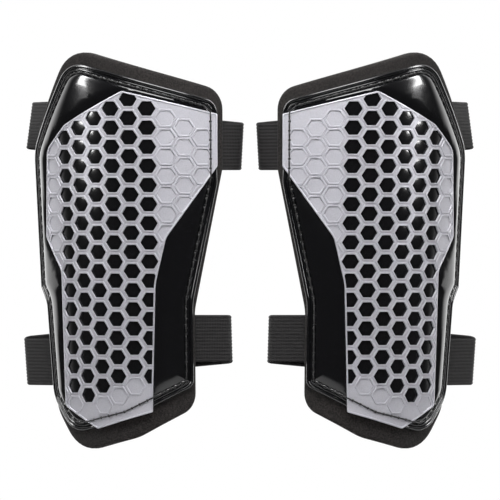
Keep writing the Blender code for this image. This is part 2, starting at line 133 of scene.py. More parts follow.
# The honeycomb plate's corners, anticlockwise from the inner flap's top: u, z, radius.
PLATE_CORNERS = (
    (PLATE_FLAP, TOP - 32.7 * MM, 0.8 * MM),
    (-21.5 * MM, TOP - 20.5 * MM, 3 * MM),
    (34.7 * MM - OUTER_REACH, TOP - 38.2 * MM, 10 * MM),
    (20.2 * MM - OUTER_REACH, TOP - 51.5 * MM, 8 * MM),
    (15.9 * MM - OUTER_REACH, 7 * MM, 5 * MM),
    (16 * MM - OUTER_REACH_LOW, -11 * MM, 8 * MM),
    (14.4 * MM - OUTER_REACH_LOW, BOTTOM + 22 * MM, 3 * MM),
    (-42.5 * MM, BOTTOM + 10 * MM, 1 * MM),
    (-8.6 * MM, BOTTOM + 19 * MM, 0.8 * MM),
    (-5.5 * MM, -18 * MM, 30 * MM),
    (0.8 * MM, 6.5 * MM, 12 * MM),
    (PLATE_FLAP, TOP - 60.5 * MM, 1 * MM),
)
PLATE_TOP_SIDE = 0
PLATE_BOTTOM_SIDE = 7
PLATE_RIM = 0.9 * MM
PLATE_SHEET = 0.6 * MM  # thinner than the plate's edge, which is turned down

# Honeycomb
HEX_WIDTH = 9.8 * MM
HEX_HEIGHT = 7.6 * MM
COLUMN_PITCH = 9.9 * MM
ROW_PITCH = 10.15 * MM
OPEN_COLUMNS = 6
LAST_OPEN_COLUMN = -8.5 * MM
TOP_CELL = 59.8 * MM
OPEN_CLEARANCE = 17.5 * MM  # from the plate's bottom edge to the nearest open cell's centre
CLOSED_CLEARANCE = 10.5 * MM  # the same to the nearest closed cell's centre
TOP_CLEARANCE = 6.5 * MM  # from the plate's top edge to the nearest closed cell's centre

# Straps, as in the fixed frame: height at the inner edge, height at the outer edge, for each
# edge how far the fold's corner stands out sideways and back, and how much the outer fold
# leans inwards for each step up.
STRAP_WIDTH = 25 * MM
STRAP_THICKNESS = 1.2 * MM
ANCHOR_LENGTH = 9 * MM
EDGE_LAP = 4 * MM
FOLD_RADIUS = 3 * MM
FOLD_LAP = 1.5 * MM
PATCH_THICKNESS = 1 * MM
PATCH_MARGIN = 0.6 * MM
LOOP_PATCH = (16 * MM, 48 * MM)
HOOK_PATCH = (14 * MM, 46 * MM)
INNER_BACK_END = 50 * MM
OUTER_BACK_END = 12 * MM
TACK_LENGTH = 6 * MM
TACK_MARGIN = 2.5 * MM
STRAPS = {
    "upper": (TOP - 50 * MM, TOP - 38 * MM, (13.9 * MM, 6.3 * MM), (13.6 * MM, 17 * MM), 0.14),
    "lower": (58 * MM - TOP, 45 * MM - TOP, (24.5 * MM, 5.2 * MM), (30 * MM, 24.5 * MM), 0.045),
}
STRAP_HEIGHT = LINING_FACE - STRAP_THICKNESS / 2
LOOP_OFFSET = STRAP_THICKNESS / 2 + GAP + PATCH_THICKNESS / 2
HOOK_OFFSET = LOOP_OFFSET + PATCH_THICKNESS + GAP
STACK = LOOP_OFFSET + HOOK_OFFSET

# Fineness of the forms
CORNER_SPANS = 8
SIDE_SPAN = 3.5 * MM
GRID = 3.5 * MM
FOLD_SPANS = 14
BAND_SPAN = 2.5 * MM
SMALLEST_RADIUS = 0.8 * MM
SAME_PLACE = 0.001 * MM

# Edges that turn by more degrees than these stay sharp
BAND_CREASE = 60
SHEET_CREASE = 50
PLATE_CREASE = 32


def linear(code):
    """An sRGB hex colour as linear red, green and blue."""
    channels = [int(code[i : i + 2], 16) / 255 for i in (1, 3, 5)]
    return tuple(c / 12.92 if c <= 0.04045 else ((c + 0.055) / 1.055) ** 2.4 for c in channels)


# ---------------------------------------------------------------- settings


def length_setting(name, description, default):
    """A size in metres."""
    return FloatProperty(name=name, description=description, default=default, unit="LENGTH")


def colour_setting(name, description, code):
    """A colour, from its sRGB hex code."""
    return FloatVectorProperty(
        name=name, description=description, default=linear(code), subtype="COLOR", size=3
    )


def share_setting(name, description, default):
    """A number from 0 to 1."""
    return FloatProperty(name=name, description=description, default=default, min=0, max=1)


class ShinGuardForm(bpy.types.PropertyGroup):
    """Sizes of the surface detail."""

    pad_roll: length_setting("Pad roll", "Radius of the foam pad's rounded front edge", 1.9 * MM)
    bead_height: length_setting("Bead height", "How far the shell's outer bead stands up", 0.6 * MM)
    dome_height: length_setting(
        "Dome height", "How far the shell's panels rise inside the stitched groove", 2.2 * MM
    )
    rim_height: length_setting(
        "Cell rim height", "How far the raised rim of each cell stands above the webs", 0.4 * MM
    )
    rim_width: length_setting("Cell rim width", "Width of the raised rim around each cell", 0.6 * MM)
    recess_depth: length_setting(
        "Closed cell depth", "How far a closed cell's floor lies below its rim", 0.6 * MM
    )
    stitch_length: length_setting(
        "Stitch length", "Distance from one needle hole of the seam to the next", 5 * MM
    )
    thread_radius: length_setting("Thread radius", "Half the thickness of the sewing thread", 0.48 * MM)
    ribs: IntProperty(
        name="Ribs", description="Number of lengthwise ribs across an elastic band", default=14, min=4
    )
    rib_depth: length_setting("Rib depth", "Depth of the valleys between the elastic's ribs", 0.3 * MM)


class ShinGuardFinish(bpy.types.PropertyGroup):
    """Colours and gloss."""

    foam_colour: colour_setting("Foam", "Foam pad", "#1d1a19")
    shell_colour: colour_setting("Shell", "Moulded shell", "#070709")
    plate_colour: colour_setting("Plate", "Honeycomb plate", "#b1b0b7")
    elastic_colour: colour_setting("Elastic", "Elastic straps", "#131112")
    thread_colour: colour_setting("Thread", "Sewing thread", "#0e0d0e")
    lining_colour: colour_setting("Lining", "Knit lining", "#2c2c30")
    closure_colour: colour_setting("Closures", "Hook and loop tape", "#1f1e1f")
    shell_roughness: share_setting("Shell roughness", "Roughness of the moulded shell", 0.14)
    plate_roughness: share_setting("Plate roughness", "Roughness of the satin plate", 0.38)


# ---------------------------------------------------------------- flat pattern


def fillet(before, corner, after, radius, count):
    """Points of the arc that rounds a corner, from the side of `before` to that of `after`."""
    back = (before - corner).normalized()
    ahead = (after - corner).normalized()
    half = back.angle(ahead) / 2
    radius = min(radius, 0.48 * min((before - corner).length, (after - corner).length) * math.tan(half))
    inward = (back + ahead).normalized()
    across = (ahead - back).normalized()
    centre = corner + inward * (radius / math.sin(half))
    spread = math.pi / 2 - half
    turns = (spread * (2 * i / count - 1) for i in range(count + 1))
    return [centre - inward * (radius * math.cos(a)) + across * (radius * math.sin(a)) for a in turns]


def inset(corners, margins):
    """The corners moved inwards, each side by its own margin; side i starts at corner i."""
    points = [Vector(c[:2]) for c in corners]
    count = len(points)
    moved = []
    for i in range(count):
        before = (points[i] - points[i - 1]).normalized()
        after = (points[(i + 1) % count] - points[i]).normalized()
        turn = before.cross(after)
        place = points[i] + (after * margins[i - 1] - before * margins[i]) / turn
        radius = corners[i][2] - math.copysign((margins[i - 1] + margins[i]) / 2, turn)
        moved.append((place.x, place.y, max(radius, SMALLEST_RADIUS)))
    return moved


class Outline:
    """A rounded polygon that can be drawn at any margin with the same count of points."""

    def __init__(self, corners):
        self.corners = [corner[:3] for corner in corners]
        points = [Vector(corner[:2]) for corner in corners]
        sides = zip(points, points[1:] + points[:1])
        self.spans = [max(1, round((b - a).length / SIDE_SPAN)) for a, b in sides]

    def at(self, margin=0.0, side_points=True):
        """The outline's points, moved inwards by a margin."""
        corners = inset(self.corners, [margin] * len(self.corners)) if margin else self.corners
        points = [Vector(corner[:2]) for corner in corners]
        following = points[1:] + points[:1]
        arcs = []
        for before, point, after, corner in zip(points[-1:] + points, points, following, corners):
            arcs.append(fillet(before, point, after, corner[2], CORNER_SPANS))
        row = []
        for arc, ahead, spans in zip(arcs, arcs[1:] + arcs[:1], self.spans):
            row += arc
            if side_points:
                row += [arc[-1].lerp(ahead[0], i / spans) for i in range(1, spans)]
        return row


SHELL_CORNERS = inset(PAD_CORNERS, [corner[3] for corner in PAD_CORNERS])
PAD = Outline(PAD_CORNERS)
SHELL = Outline(SHELL_CORNERS)
SEAM = Outline(inset(SHELL_CORNERS, [SEAM_INSET] * len(SHELL_CORNERS)))
LINING = Outline(inset(PAD_CORNERS, [LINING_INSET] * len(PAD_CORNERS)))
PLATE = Outline(PLATE_CORNERS)
PLATE_EDGE = PLATE.at(side_points=False)
PAD_EDGE = PAD.at()


def inside(point, outline):
    """Whether a flat point lies inside an outline."""
    crossed = False
    for a, b in zip(outline, outline[1:] + outline[:1]):
        if (a.y > point.y) != (b.y > point.y):
            crossed ^= point.x < a.x + (b.x - a.x) * (point.y - a.y) / (b.y - a.y)
    return crossed


def edge_distance(point, outline):
    """Distance from a flat point to the nearest side of an outline."""
    nearest = math.inf
    for a, b in zip(outline, outline[1:] + outline[:1]):
        along = b - a
        share = min(max((point - a).dot(along) / along.length_squared, 0), 1)
        nearest = min(nearest, (point - a - along * share).length)
    return nearest


def side_u(outline, z, towards):
    """u where the outline crosses height z, on its inner (+1) or outer (-1) side."""
    crossings = []
    for a, b in zip(outline, outline[1:] + outline[:1]):
        if (a.y - z) * (b.y - z) < 0:
            crossings.append(a.x + (b.x - a.x) * (z - a.y) / (b.y - a.y))
    return max(crossings) if towards > 0 else min(crossings)


def side_distance(point, side):
    """Distance of a flat point inside one of the plate's straight sides."""
    start = Vector(PLATE_CORNERS[side][:2])
    along = (Vector(PLATE_CORNERS[side + 1][:2]) - start).normalized()
    return along.cross(point - start)


def wrap(u, z, height):
    """The left guard's point for a place in the flat pattern and a height."""
    angle = u / PATTERN_RADIUS
    radius = RADIUS + TAPER * z
    reach = radius + height
    x = -CREST_SPACING / 2 - CREST_LEAN * z + reach * math.sin(angle)
    y = BOW * (z / TOP) ** 2 - ORIGIN_BACK + radius - reach * math.cos(angle)
    return Vector((x, y, z))


def smooth_share(value, low, high):
    """0 below low, 1 above high, and smooth in between."""
    share = min(max((value - low) / (high - low), 0), 1)
    return share * share * (3 - 2 * share)


# ---------------------------------------------------------------- mesh helpers


def arc(count):
    """Angles over a quarter turn."""
    return [math.pi / 2 * i / count for i in range(count + 1)]


def ring_edges(form, ring):
    """The edges of a closed ring of vertices."""
    return [form.edges.get(pair) for pair in zip(ring, ring[1:] + ring[:1])]


def start_ring(form, row, height):
    """A form's first closed ring."""
    ring = bmesh.ops.create_circle(form, segments=len(row), radius=1)["verts"]
    for vertex, place in zip(ring, row):
        vertex.co = (place.x, place.y, height)
    return ring


def next_ring(form, ring, row, height):
    """Extrudes a ring to a new row of places."""
    made = bmesh.ops.extrude_edge_only(form, edges=ring_edges(form, ring))["geom"]
    fresh = {part for part in made if isinstance(part, bmesh.types.BMVert)}
    ring = [next(e.other_vert(v) for e in v.link_edges if e.other_vert(v) in fresh) for v in ring]
    for vertex, place in zip(ring, row):
        vertex.co = (place.x, place.y, height)
    return ring


def cap_ring(form, ring, step):
    """Fills a ring and cuts the face on a grid, so that it can bend and dome."""
    parts = bmesh.ops.contextual_create(form, geom=ring_edges(form, ring))["faces"]
    for axis in (0, 1):
        low = min(vertex.co[axis] for vertex in ring)
        high = max(vertex.co[axis] for vertex in ring)
        normal = Vector((1 - axis, axis, 0))
        for i in range(math.floor(low / step) + 1, math.ceil(high / step)):
            faces = [part for part in parts if isinstance(part, bmesh.types.BMFace)]
            geometry = list({part for face in faces for part in (*face.verts, *face.edges, face)})
            cut = bmesh.ops.bisect_plane(
                form, geom=geometry, dist=SAME_PLACE, plane_co=normal * (i * step), plane_no=normal
            )
            parts = cut["geom"]


def flat_solid(outline, profile, step):
    """A closed flat solid whose edge follows (margin, height) pairs from its back to its front."""
    form = bmesh.new()
    ring = first = start_ring(form, outline.at(profile[0][0]), profile[0][1])
    for margin, height in profile[1:]:
        ring = next_ring(form, ring, outline.at(margin), height)
    cap_ring(form, first, 2 * step)
    cap_ring(form, ring, step)
    bmesh.ops.recalc_face_normals(form, faces=form.faces)
    return form


def pattern_map(form):
    """Keeps the flat pattern, in metres, as the piece's own map."""
    layer = form.loops.layers.uv.verify()
    for face in form.faces:
        for loop in face.loops:
            loop[layer].uv = loop.vert.co.xy


def bend(form):
    """Wraps a flat form around the leg."""
    for vertex in form.verts:
        vertex.co = wrap(*vertex.co)


def solid_mesh(form, name):
    """The form as a mesh of flat faces."""
    mesh = bpy.data.meshes.new(name)
    form.to_mesh(mesh)
    form.free()
    return mesh


def to_mesh(form, name, sharp):
    """The form as a mesh, smooth but for edges that turn by more than `sharp` degrees."""
    mesh = solid_mesh(form, name)
    mesh.shade_smooth()
    mesh.set_sharp_from_angle(angle=math.radians(sharp))
    return mesh


def mirrored(mesh):
    """A copy of a mesh mirrored in X = 0, with its faces still pointing out."""
    copy = mesh.copy()
    copy.transform(Matrix.Scale(-1, 4, (1, 0, 0)))
    copy.flip_normals()
    return copy


def add_pair(context, name, mesh, material, node, body, bend_to=None):
    """Adds a piece and its mirror image, in place of their plain nodes.

    A piece that crosses a joint is given bend_to and keeps its place in the world without a body; what
    bend_to holds is not used.
    """
    mesh.materials.clear()
    mesh.materials.append(material)
    pieces = []
    for side, sign in SIDES:
        piece = bpy.data.objects.new(f"{name}_{side}", mesh if sign > 0 else mirrored(mesh))
        context.scene.collection.objects.link(piece)
        if bend_to:
            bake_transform(piece)
        else:
            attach(piece, f"{body}_{side}")
        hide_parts(f"{node}_{side}")
        pieces.append(piece)
    return pieces


# ---------------------------------------------------------------- material helpers


def add_node(tree, kind, inputs=(), **settings):
    """Adds a node; inputs are (socket, value or output to link) pairs."""
    node = tree.nodes.new(kind)
    for name, value in settings.items():
        setattr(node, name, value)
    for socket, value in inputs:
        if isinstance(value, bpy.types.NodeSocket):
            tree.links.new(value, node.inputs[socket])
        else:
            node.inputs[socket].default_value = value
    return node


def new_material(name, colour, roughness, **sockets):
    """A material with its plain values on the shader; returns it, its tree and the shader."""
    material = bpy.data.materials.new(name)
    material.use_nodes = True
    tree = material.node_tree
    shader = tree.nodes["Principled BSDF"]
    shader.inputs["Base Color"].default_value = (*colour, 1)
    shader.inputs["Roughness"].default_value = roughness
    for socket, value in sockets.items():
        shader.inputs[socket.replace("_", " ")].default_value = value
    return material, tree, shader


def link_bump(tree, shader, height, distance, strength=1.0):
    """Links a pattern to the shader as relief of a depth in metres."""
    inputs = [("Height", height), ("Distance", distance), ("Strength", strength)]
    bump = add_node(tree, "ShaderNodeBump", inputs)
    tree.links.new(bump.outputs["Normal"], shader.inputs["Normal"])


def link_tint(tree, shader, pattern, colour, low, high):
    """Colours the shader by a pattern; low and high are (position, share of the colour) pairs."""
    tint = add_node(tree, "ShaderNodeValToRGB", [("Fac", pattern)])
    for element, (position, share) in zip(tint.color_ramp.elements, (low, high)):
        element.position = position
        element.color = (*[min(channel * share, 1) for channel in colour], 1)
    tree.links.new(tint.outputs["Color"], shader.inputs["Base Color"])


def waves_per_metre(period):
    """Wave Texture scale whose bands repeat at a period in metres."""
    return 2 * math.pi / (20 * period)


# ---------------------------------------------------------------- materials


def foam_rubber(finish):
    """Closed-cell rubber foam with a split skin: matt, finely pored, brownish black."""
    grain = 0.8 * MM  # real pores are about 0.3 mm; drawn coarser so that they show
    material, tree, shader = new_material(
        "closed_cell_foam", finish.foam_colour, 0.92, Specular_IOR_Level=0.25
    )
    places = add_node(tree, "ShaderNodeTexCoord").outputs["Object"]
    pores = add_node(tree, "ShaderNodeTexNoise", [("Vector", places), ("Scale", 1 / grain), ("Detail", 3.0)])
    patches = add_node(tree, "ShaderNodeTexNoise", [("Vector", places), ("Scale", 90.0), ("Detail", 2.0)])
    coarse = add_node(
        tree, "ShaderNodeMath", [(0, patches.outputs["Fac"]), (1, 0.12)], operation="MULTIPLY"
    )
    mixed = add_node(
        tree,
        "ShaderNodeMath",
        [(0, pores.outputs["Fac"]), (1, 0.88), (2, coarse.outputs[0])],
        operation="MULTIPLY_ADD",
    )
    link_tint(tree, shader, mixed.outputs[0], finish.foam_colour, (0.4, 0.45), (0.6, 1.7))
    link_bump(tree, shader, pores.outputs["Fac"], 0.25 * MM, 0.7)
    return material


def gloss_shell(finish):
    """Injection-moulded black plastic straight from a polished tool: a deep, slightly wavy gloss."""
    ripple = 9 * MM  # width of the faint waves that moulding leaves
    material, tree, shader = new_material(
        "polished_black_plastic", finish.shell_colour, finish.shell_roughness, IOR=1.52
    )
    places = add_node(tree, "ShaderNodeTexCoord").outputs["Object"]
    waves = add_node(
        tree, "ShaderNodeTexNoise", [("Vector", places), ("Scale", 1 / ripple), ("Detail", 1.0)]
    )
    link_bump(tree, shader, waves.outputs["Fac"], 0.12 * MM, 0.5)
    return material


def satin_plate(finish):
    """Silver-painted moulded plastic: a soft sheen and a fine mica grain, whose lighter flecks are a painted
    sparkle.
    """
    mica = 0.5 * MM  # real flakes are under 0.1 mm; drawn coarser so that they show
    material, tree, shader = new_material(
        "silver_painted_plastic", finish.plate_colour, finish.plate_roughness, Metallic=0.2
    )
    places = add_node(tree, "ShaderNodeTexCoord").outputs["Object"]
    flakes_and_sparkle = add_node(tree, "ShaderNodeTexNoise", [("Vector", places), ("Scale", 1 / mica), ("Detail", 2.0)])
    # The flakes mottle the colour at random; the lighter flecks are painted glints standing in for the
    # mica's sparkle.
    link_tint(tree, shader, flakes_and_sparkle.outputs["Fac"], finish.plate_colour, (0.3, 0.9), (0.7, 1.08))
    link_bump(tree, shader, flakes_and_sparkle.outputs["Fac"], 0.04 * MM, 0.6)
    return material


def sewing_thread(finish):
    """Bonded polyester thread: twisted strands with a faint lustre."""
    twist = 0.5 * MM  # from one strand to the next
    material, tree, shader = new_material(
        "bonded_thread", finish.thread_colour, 0.4, Specular_IOR_Level=0.35
    )
    places = add_node(tree, "ShaderNodeTexCoord").outputs["Object"]
    strands = add_node(
        tree,
        "ShaderNodeTexWave",
        [("Vector", places), ("Scale", waves_per_metre(twist)), ("Distortion", 1.5)],
        bands_direction="DIAGONAL",
    )
    link_bump(tree, shader, strands.outputs["Fac"], 0.12 * MM, 0.8)
    return material


def ribbed_elastic(finish, rib):
    """Woven elastic: lengthwise ribs crossed by fine weft threads, dull and slightly fuzzy, with painted
    shade along the valleys between the ribs.
    """
    weft = 0.9 * MM  # real weft threads are about 0.5 mm apart; drawn coarser so that they show
    material, tree, shader = new_material(
        "woven_elastic", finish.elastic_colour, 0.85, Specular_IOR_Level=0.3, Sheen_Weight=0.1
    )
    pattern = add_node(tree, "ShaderNodeTexCoord").outputs["UV"]
    threads = add_node(
        tree,
        "ShaderNodeTexWave",
        [("Vector", pattern), ("Scale", waves_per_metre(weft)), ("Distortion", 1.2), ("Detail", 2.0)],
        bands_direction="X",
    )
    fuzz = add_node(tree, "ShaderNodeTexNoise", [("Vector", pattern), ("Scale", 1500.0), ("Detail", 3.0)])
    both = add_node(
        tree, "ShaderNodeMath", [(0, threads.outputs["Fac"]), (1, fuzz.outputs["Fac"])], operation="ADD"
    )
    # Bands that follow the ribs, used only for the colour: painted shade in the valleys between the ribs and
    # painted light on their crests.
    ribs = add_node(
        tree,
        "ShaderNodeTexWave",
        [("Vector", pattern), ("Scale", waves_per_metre(rib))],
        bands_direction="Y",
    )
    link_tint(tree, shader, ribs.outputs["Fac"], finish.elastic_colour, (0.05, 0.4), (0.5, 1.2))
    link_bump(tree, shader, both.outputs[0], 0.1 * MM, 0.35)
    return material


def knit_lining(finish):
    """Warp-knit polyester on foam: rows of small loops with a dry, matt face."""
    wale = 1.5 * MM  # real wales are about 0.7 mm; drawn coarser so that they show
    material, tree, shader = new_material(
        "warp_knit", finish.lining_colour, 0.95, Sheen_Weight=0.35
    )
    pattern = add_node(tree, "ShaderNodeTexCoord").outputs["UV"]
    wales = add_node(
        tree,
        "ShaderNodeTexWave",
        [("Vector", pattern), ("Scale", waves_per_metre(wale)), ("Distortion", 0.4)],
        bands_direction="X",
    )
    courses = add_node(
        tree,
        "ShaderNodeTexWave",
        [("Vector", pattern), ("Scale", waves_per_metre(wale * 0.7)), ("Distortion", 0.4)],
        bands_direction="Y",
    )
    loops = add_node(
        tree,
        "ShaderNodeMath",
        [(0, wales.outputs["Fac"]), (1, courses.outputs["Fac"])],
        operation="MULTIPLY",
    )
    link_tint(tree, shader, loops.outputs[0], finish.lining_colour, (0.0, 0.45), (0.8, 1.4))
    link_bump(tree, shader, loops.outputs[0], 0.3 * MM, 0.9)
    return material


def loop_tape(finish):
    """Brushed nylon loops: a soft, irregular nap."""
    nap = 0.9 * MM  # real loops are about 0.4 mm wide; drawn coarser so that they show
    material, tree, shader = new_material(
        "brushed_loops", finish.closure_colour, 0.95, Sheen_Weight=0.6
    )
    pattern = add_node(tree, "ShaderNodeTexCoord").outputs["UV"]
    curls = add_node(
        tree,
        "ShaderNodeTexNoise",
        [("Vector", pattern), ("Scale", 1 / nap), ("Detail", 4.0), ("Distortion", 1.5)],
    )
    link_tint(tree, shader, curls.outputs["Fac"], finish.closure_colour, (0.35, 0.5), (0.7, 1.7))
    link_bump(tree, shader, curls.outputs["Fac"], 0.6 * MM)
    return material


def hook_tape(finish):
    """Moulded nylon hooks: a dense, even field of small glossy stubs."""
    spacing = 1.1 * MM  # from one hook to the next
    material, tree, shader = new_material("moulded_hooks", finish.closure_colour, 0.4)
    pattern = add_node(tree, "ShaderNodeTexCoord").outputs["UV"]
    stubs = add_node(
        tree, "ShaderNodeTexVoronoi", [("Vector", pattern), ("Scale", 1 / spacing), ("Randomness", 0.15)]
    )
    link_tint(tree, shader, stubs.outputs["Distance"], finish.closure_colour, (0.0, 2.0), (0.6, 0.3))
    raised = add_node(
        tree, "ShaderNodeMath", [(0, 1.0), (1, stubs.outputs["Distance"])], operation="SUBTRACT"
    )
    link_bump(tree, shader, raised.outputs[0], 0.8 * MM)
    return material


# ---------------------------------------------------------------- pad, shell and lining


class SHINGUARDS_OT_foam_pad(bpy.types.Operator):
    """Foam pads with rolled front edges"""

    bl_idname = "shin_guards.foam_pad"
    bl_label = "Foam pads"

    def execute(self, context):
        roll = context.scene.shin_guard_form.pad_roll
        back_roll = roll / 2
        profile = []
        for a in arc(3):
            profile.append((back_roll * (1 - math.sin(a)), FOAM_BACK + back_roll * (1 - math.cos(a))))
        for a in arc(6):
            profile.append((roll * (1 - math.cos(a)), FOAM_FACE - roll * (1 - math.sin(a))))
        form = flat_solid(PAD, profile, GRID)
        pattern_map(form)
        bend(form)
        mesh = to_mesh(form, "foam_pad", SHEET_CREASE)
        finish = context.scene.shin_guard_finish
        for pad in add_pair(context, "foam_padding", mesh, foam_rubber(finish), "foam_pad", "guard"):
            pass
        return {"FINISHED"}


BEAD_FOOT = 0.3 * MM  # height of the shell's upright edge below its face
RELIEF_FLOOR = 0.25 * MM  # what lies deeper below the face never meets the plate
UNDER_PLATE = 0.15 * MM  # room between the shell and the plate's back
DIP_RUN = (0.4 * MM, 2.2 * MM)  # where the shell's dip around the plate starts and ends
STUD_SIZE = (5.2 * MM, 4.8 * MM, 0.3 * MM)
STUD_LIFT = 0.05 * MM
PUCKER_RADIUS = 0.85 * MM
PUCKER_DEPTH = 0.4 * MM
PUCKER_BULGE = 1.35
PUCKER_CLEARANCE = 1.5 * MM

# The shell's edge in section: millimetres in from the edge, and share of the bead's height
BEAD_PROFILE = (
    (0.12, 0.35),
    (0.35, 0.75),
    (0.75, 0.97),
    (1.15, 1.0),
    (1.5, 0.8),
    (1.8, 0.25),
    (2.0, -0.35),
    (2.2, -0.35),
    (2.4, 0.25),
    (2.7, 0.7),
    (3.05, 0.72),
    (3.35, 0.35),
    (3.6, -0.35),
    (3.9, -0.75),
    (4.5, -0.75),
    (4.8, -0.4),
)
# Further in: millimetres from the edge, and share of the dome's height
DOME_PROFILE = (
    (5.1, 0.05),
    (5.6, 0.22),
    (6.4, 0.38),
    (7.6, 0.52),
    (9.2, 0.66),
    (11.0, 0.78),
    (13.5, 0.9),
    (16.5, 1.0),
)


class SHINGUARDS_OT_moulded_shell(bpy.types.Operator):
    """Glossy shells with a bead, a stitched groove and domed panels"""

    bl_idname = "shin_guards.moulded_shell"
    bl_label = "Moulded shells"

    def execute(self, context):
        form_sizes = context.scene.shin_guard_form
        bead, dome = form_sizes.bead_height, form_sizes.dome_height
        profile = [(0, SHELL_BACK), (0, SHELL_FACE - BEAD_FOOT)]
        profile += [(margin * MM, SHELL_FACE + share * bead) for margin, share in BEAD_PROFILE]
        profile += [(margin * MM, SHELL_FACE + share * dome) for margin, share in DOME_PROFILE]
        form = flat_solid(SHELL, profile, GRID)
        for vertex in form.verts:
            if vertex.co.z > SHELL_FACE - RELIEF_FLOOR:
                vertex.co.z = min(vertex.co.z, room_by_plate(vertex.co.xy))
        for centre in open_cells():
            add_stud(form, centre)
        add_puckers(form, form_sizes.stitch_length)
        pattern_map(form)
        bend(form)
        mesh = to_mesh(form, "moulded_shell", SHEET_CREASE)
        finish = context.scene.shin_guard_finish
        add_pair(context, "moulded_shell", mesh, gloss_shell(finish), "outer_shell", "guard")
        return {"FINISHED"}


def room_by_plate(place):
    """How high the shell may rise at a flat place: it dips to pass under the plate."""
    under = -PLATE_THICKNESS - UNDER_PLATE
    if inside(place, PLATE_EDGE):
        return under
    share = smooth_share(edge_distance(place, PLATE_EDGE), *DIP_RUN)
    return under * (1 - share)


def add_stud(form, centre):
    """A shallow dome on the shell under one open cell."""
    place = Matrix.Translation((centre.x, centre.y, SHELL_FACE + STUD_LIFT))
    shape = place @ Matrix.Diagonal((*STUD_SIZE, 1))
    bmesh.ops.create_uvsphere(form, u_segments=14, v_segments=10, radius=1, matrix=shape)


def add_puckers(form, stitch_length):
    """The shell's small pillows between the seam's needle holes, beside the plate."""
    floor = SHELL_FACE - PUCKER_DEPTH
    holes = evenly(SEAM.at(), stitch_length)
    for a, b in zip(holes, holes[1:] + holes[:1]):
        middle = (a + b) / 2
        from_plate = edge_distance(middle, PLATE_EDGE)
        if not inside(middle, PLATE_EDGE) and from_plate > PUCKER_CLEARANCE:
            start, end = (Vector((*a.lerp(b, share), floor)) for share in (0.05, 0.95))
            add_thread(form, start, end, Vector((0, 0, 1)), PUCKER_RADIUS, bulge=PUCKER_BULGE)


class SHINGUARDS_OT_knit_lining(bpy.types.Operator):
    """Knit linings on the pads' backs"""

    bl_idname = "shin_guards.knit_lining"
    bl_label = "Knit linings"

    def execute(self, context):
        half = LINING_THICKNESS / 2
        middle = LINING_FACE - half
        profile = [(half * (1 - math.cos(a)), middle - half * math.sin(a)) for a in reversed(arc(3))]
        profile += [(half * (1 - math.cos(a)), middle + half * math.sin(a)) for a in arc(3)[1:]]
        form = flat_solid(LINING, profile, GRID)
        area = sum(face.calc_area() for face in form.faces) / 2
        row = LINING.at()
        pattern_map(form)
        bend(form)
        mesh = to_mesh(form, "knit_lining", SHEET_CREASE)
        material = knit_lining(context.scene.shin_guard_finish)
        for sheet in add_pair(context, "knit_lining", mesh, material, "lining", "guard"):
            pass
        return {"FINISHED"}


# ---------------------------------------------------------------- honeycomb plate

CREST_DEPTH = 0.05 * MM  # height of the plate's outer face above the cells' rims
CELL_CORNER = 0.25 * MM
CLOSED_GROWTH = 0.15 * MM  # how much further out a closed cell's rim lies than an open one's
LIP_DEPTH = 0.25 * MM
LIP_WIDTH = 0.12 * MM
RIM_FOOT = 0.3 * MM  # how far the foot of a rim's outer slope lies out, besides the rim's width
FLOOR_RUN = 2 * MM

# The bead along the plate's edge in section, from outside in: margin and height
EDGE_PROFILE = (
    (0, -PLATE_THICKNESS),
    (0, -0.25 * MM),
    (0.08 * MM, -0.05 * MM),
    (0.3 * MM, 0.06 * MM),
    (PLATE_RIM - 0.25 * MM, 0.06 * MM),
    (PLATE_RIM - 0.05 * MM, -0.12 * MM),
    (PLATE_RIM, -0.4 * MM),
    (PLATE_RIM, -PLATE_THICKNESS),
)


def cell_places():
    """Every cell centre of the honeycomb's grid near the plate."""
    columns = math.ceil(2 * OUTER_REACH / COLUMN_PITCH)
    rows = math.ceil(HEIGHT / ROW_PITCH)
    places = []
    for column in range(-columns // 2, columns):
        u = LAST_OPEN_COLUMN - COLUMN_PITCH * (OPEN_COLUMNS - 1 - column)
        for row in range(-rows, rows):
            centre = Vector((u, TOP_CELL + ROW_PITCH * (row + column % 2 / 2)))
            if inside(centre, PLATE_EDGE) or edge_distance(centre, PLATE_EDGE) < COLUMN_PITCH:
                places.append((column, centre))
    return places


def open_cells():
    """Centres of the cells that go right through the plate."""
    return [centre for column, centre in cell_places() if cell_kind(column, centre) == "open"]


def cell_kind(column, centre):
    """Whether a cell is open, closed or plain."""
    within = inside(centre, PLATE_EDGE)
    from_bottom = side_distance(centre, PLATE_BOTTOM_SIDE)
    if within and 0 <= column < OPEN_COLUMNS and from_bottom > OPEN_CLEARANCE:
        return "open"
    from_top = side_distance(centre, PLATE_TOP_SIDE)
    if from_bottom > CLOSED_CLEARANCE and from_top > TOP_CLEARANCE and centre.x < PLATE_FLAP:
        return "closed"
    return "plain"


def web_corner(place):
    """The corner, midway along the webs, that is nearest to a point of a cell."""
    slope = ((COLUMN_PITCH**2 + (ROW_PITCH / 2) ** 2) / 2) / COLUMN_PITCH
    top = Vector((slope - ROW_PITCH**2 / 4 / COLUMN_PITCH, ROW_PITCH / 2))
    side, beside = Vector((slope, 0)), Vector((-top.x, top.y))
    return min((side, top, beside, -side, -top, -beside), key=lambda corner: (corner - place).length)


